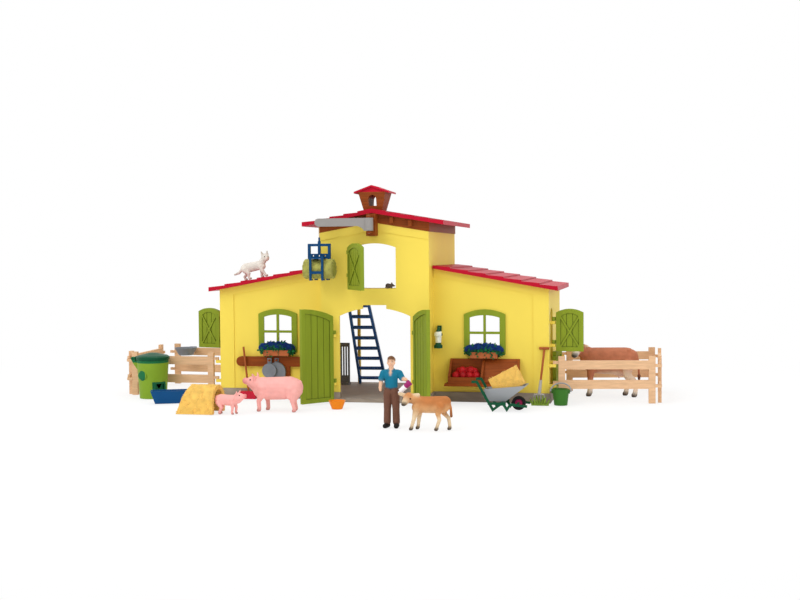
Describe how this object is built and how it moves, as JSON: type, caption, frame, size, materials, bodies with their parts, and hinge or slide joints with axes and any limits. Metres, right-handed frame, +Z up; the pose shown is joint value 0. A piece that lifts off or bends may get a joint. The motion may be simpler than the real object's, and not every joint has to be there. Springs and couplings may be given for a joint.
{
  "type": "toy farm playset",
  "caption": "Toy barn with a tall middle, hinged doors, swing hoist and folding fence pens, with farm tools, animals and a farmer doll.",
  "frame": {"origin": "on the floor, in the middle of the wings' front walls", "axes": "+X along the front to the right, +Y from the front to the open back, +Z up"},
  "size_m": [0.7941, 0.4638, 0.304],
  "materials": {
    "wall_yellow": "satin",
    "base_stone": "matte",
    "roof_red": "satin",
    "timber_brown": "satin",
    "leaf_green": "satin",
    "hoist_grey": "satin",
    "cord": "matte",
    "bale_green": "matte",
    "fence_tan": "satin",
    "terracotta": "matte",
    "plant": "matte",
    "pan_grey": "gloss",
    "apple_red": "gloss",
    "lantern_green": "satin",
    "ladder_navy": "satin",
    "feeder_lime": "satin",
    "dark_green": "satin",
    "trough_blue": "satin",
    "straw": "matte",
    "tyre_black": "matte",
    "broom_red": "satin",
    "tool_wood": "satin",
    "bucket_green": "satin",
    "bowl_orange": "satin",
    "cow_brown": "matte",
    "pig_pink": "matte",
    "cat_white": "matte",
    "mouse_dark": "matte",
    "doll_paint": "matte",
    "bottle_white": "gloss"
  },
  "bodies": {
    "barn": {"wing_left": "wall_yellow", "wing_right": "wall_yellow", "tower_shell": "wall_yellow", "base_floor": "base_stone", "roof_left": "roof_red", "roof_right": "roof_red", "tower_roof": "roof_red", "cupola_roof": "roof_red", "gable_trim": "timber_brown", "cupola_body": "timber_brown", "produce_stand": "timber_brown", "tool_rack": "timber_brown", "windows": "leaf_green", "hay_rack": "hoist_grey", "fence_left_front": "fence_tan", "fence_right_front": "fence_tan", "flower_boxes": "terracotta", "flower_plants": "plant", "grass_clump": "plant", "rack_pans": "pan_grey", "barrow_tub": "pan_grey", "apples": "apple_red", "lantern": "lantern_green", "ladder": "ladder_navy", "feeder_body": "feeder_lime", "barrow_frame": "dark_green", "trough": "trough_blue", "straw_shelter": "straw", "straw_bale": "straw", "broom": "broom_red", "hay_fork": "tool_wood", "bucket": "bucket_green", "feed_bowl_orange": "bowl_orange", "cow": "cow_brown", "calf": "cow_brown", "pig": "pig_pink", "piglet": "pig_pink", "cat": "cat_white", "mouse": "mouse_dark", "farmer": "doll_paint", "nursing_bottle": "bottle_white"},
    "door_left": {"door_left": "leaf_green"},
    "door_right": {"door_right": "leaf_green"},
    "loft_shutter": {"loft_shutter": "leaf_green"},
    "side_left_upper": {"side_door_left_upper": "leaf_green"},
    "side_left_lower": {"side_door_left_lower": "leaf_green"},
    "side_right_upper": {"side_door_right_upper": "leaf_green"},
    "side_right_lower": {"side_door_right_lower": "leaf_green"},
    "crane": {"crane_arm": "hoist_grey", "hoist_cord": "cord"},
    "grab": {"bale_grab": "trough_blue", "round_bale": "bale_green"},
    "gate_left": {"fence_left_gate": "fence_tan"},
    "gate_right": {"fence_right_gate": "fence_tan"},
    "back_left": {"fence_left_back": "fence_tan", "feed_bowl_grey": "pan_grey"},
    "back_right": {"fence_right_back": "fence_tan"},
    "lid": {"feeder_lid": "dark_green"},
    "bail": {"bucket_bail": "hoist_grey"},
    "wheel": {"barrow_wheel": "tyre_black"}
  },
  "joints": [
    {"name": "door_left_hinge", "type": "hinge", "parent": "barn", "child": "door_left", "pos_m": [-0.057, -0.034, 0.06], "axis": [0, 0, -1], "range_deg": [-129, 21]},
    {"name": "door_right_hinge", "type": "hinge", "parent": "barn", "child": "door_right", "pos_m": [0.057, -0.034, 0.06], "axis": [0, 0, 1], "range_deg": [-122, 28]},
    {"name": "loft_shutter_hinge", "type": "hinge", "parent": "barn", "child": "loft_shutter", "pos_m": [-0.0357, -0.034, 0.19], "axis": [0, 0, -1], "range_deg": [-59, 36]},
    {"name": "side_left_upper_hinge", "type": "hinge", "parent": "barn", "child": "side_left_upper", "pos_m": [-0.245, 0.019, 0.095], "axis": [0, 0, 1], "range_deg": [-75, 95]},
    {"name": "side_left_lower_hinge", "type": "hinge", "parent": "barn", "child": "side_left_lower", "pos_m": [-0.245, 0.019, 0.04], "axis": [0, 0, 1], "range_deg": [0, 90]},
    {"name": "side_right_upper_hinge", "type": "hinge", "parent": "barn", "child": "side_right_upper", "pos_m": [0.245, 0.019, 0.095], "axis": [0, 0, -1], "range_deg": [-92, 78]},
    {"name": "side_right_lower_hinge", "type": "hinge", "parent": "barn", "child": "side_right_lower", "pos_m": [0.245, 0.019, 0.04], "axis": [0, 0, -1], "range_deg": [-8, 82]},
    {"name": "crane_swing", "type": "hinge", "parent": "barn", "child": "crane", "pos_m": [0, -0.056, 0.25], "axis": [0, 0, 1], "range_deg": [0, 180]},
    {"name": "hoist_drop", "type": "slide", "parent": "crane", "child": "grab", "axis": [0, 0, -1], "range_m": [0, 0.035], "deforming": ["hoist_cord"]},
    {"name": "gate_left_hinge", "type": "hinge", "parent": "barn", "child": "gate_left", "pos_m": [-0.39043, 0.00852, 0.04], "axis": [0, 0, 1], "range_deg": [0, 110]},
    {"name": "gate_right_hinge", "type": "hinge", "parent": "barn", "child": "gate_right", "pos_m": [0.38892, 0.02528, 0.04], "axis": [0, 0, -1], "range_deg": [0, 110]},
    {"name": "back_left_hinge", "type": "hinge", "parent": "barn", "child": "back_left", "pos_m": [-0.2465, 0.15, 0.04], "axis": [0, 0, -1], "range_deg": [0, 80]},
    {"name": "back_right_hinge", "type": "hinge", "parent": "barn", "child": "back_right", "pos_m": [0.2465, 0.15, 0.04], "axis": [0, 0, 1], "range_deg": [0, 80]},
    {"name": "feeder_lid_hinge", "type": "hinge", "parent": "barn", "child": "lid", "pos_m": [-0.3662, -0.021, 0.0576], "axis": [0, -1, 0], "range_deg": [0, 100]},
    {"name": "bucket_bail_hinge", "type": "hinge", "parent": "barn", "child": "bail", "pos_m": [0.257, -0.014, 0.019], "axis": [1, 0, 0], "range_deg": [-48, 138]},
    {"name": "barrow_wheel_spin", "type": "hinge", "parent": "barn", "child": "wheel", "pos_m": [0.2065, -0.072, 0.0092], "axis": [0, 1, 0], "continuous": true}
  ]
}
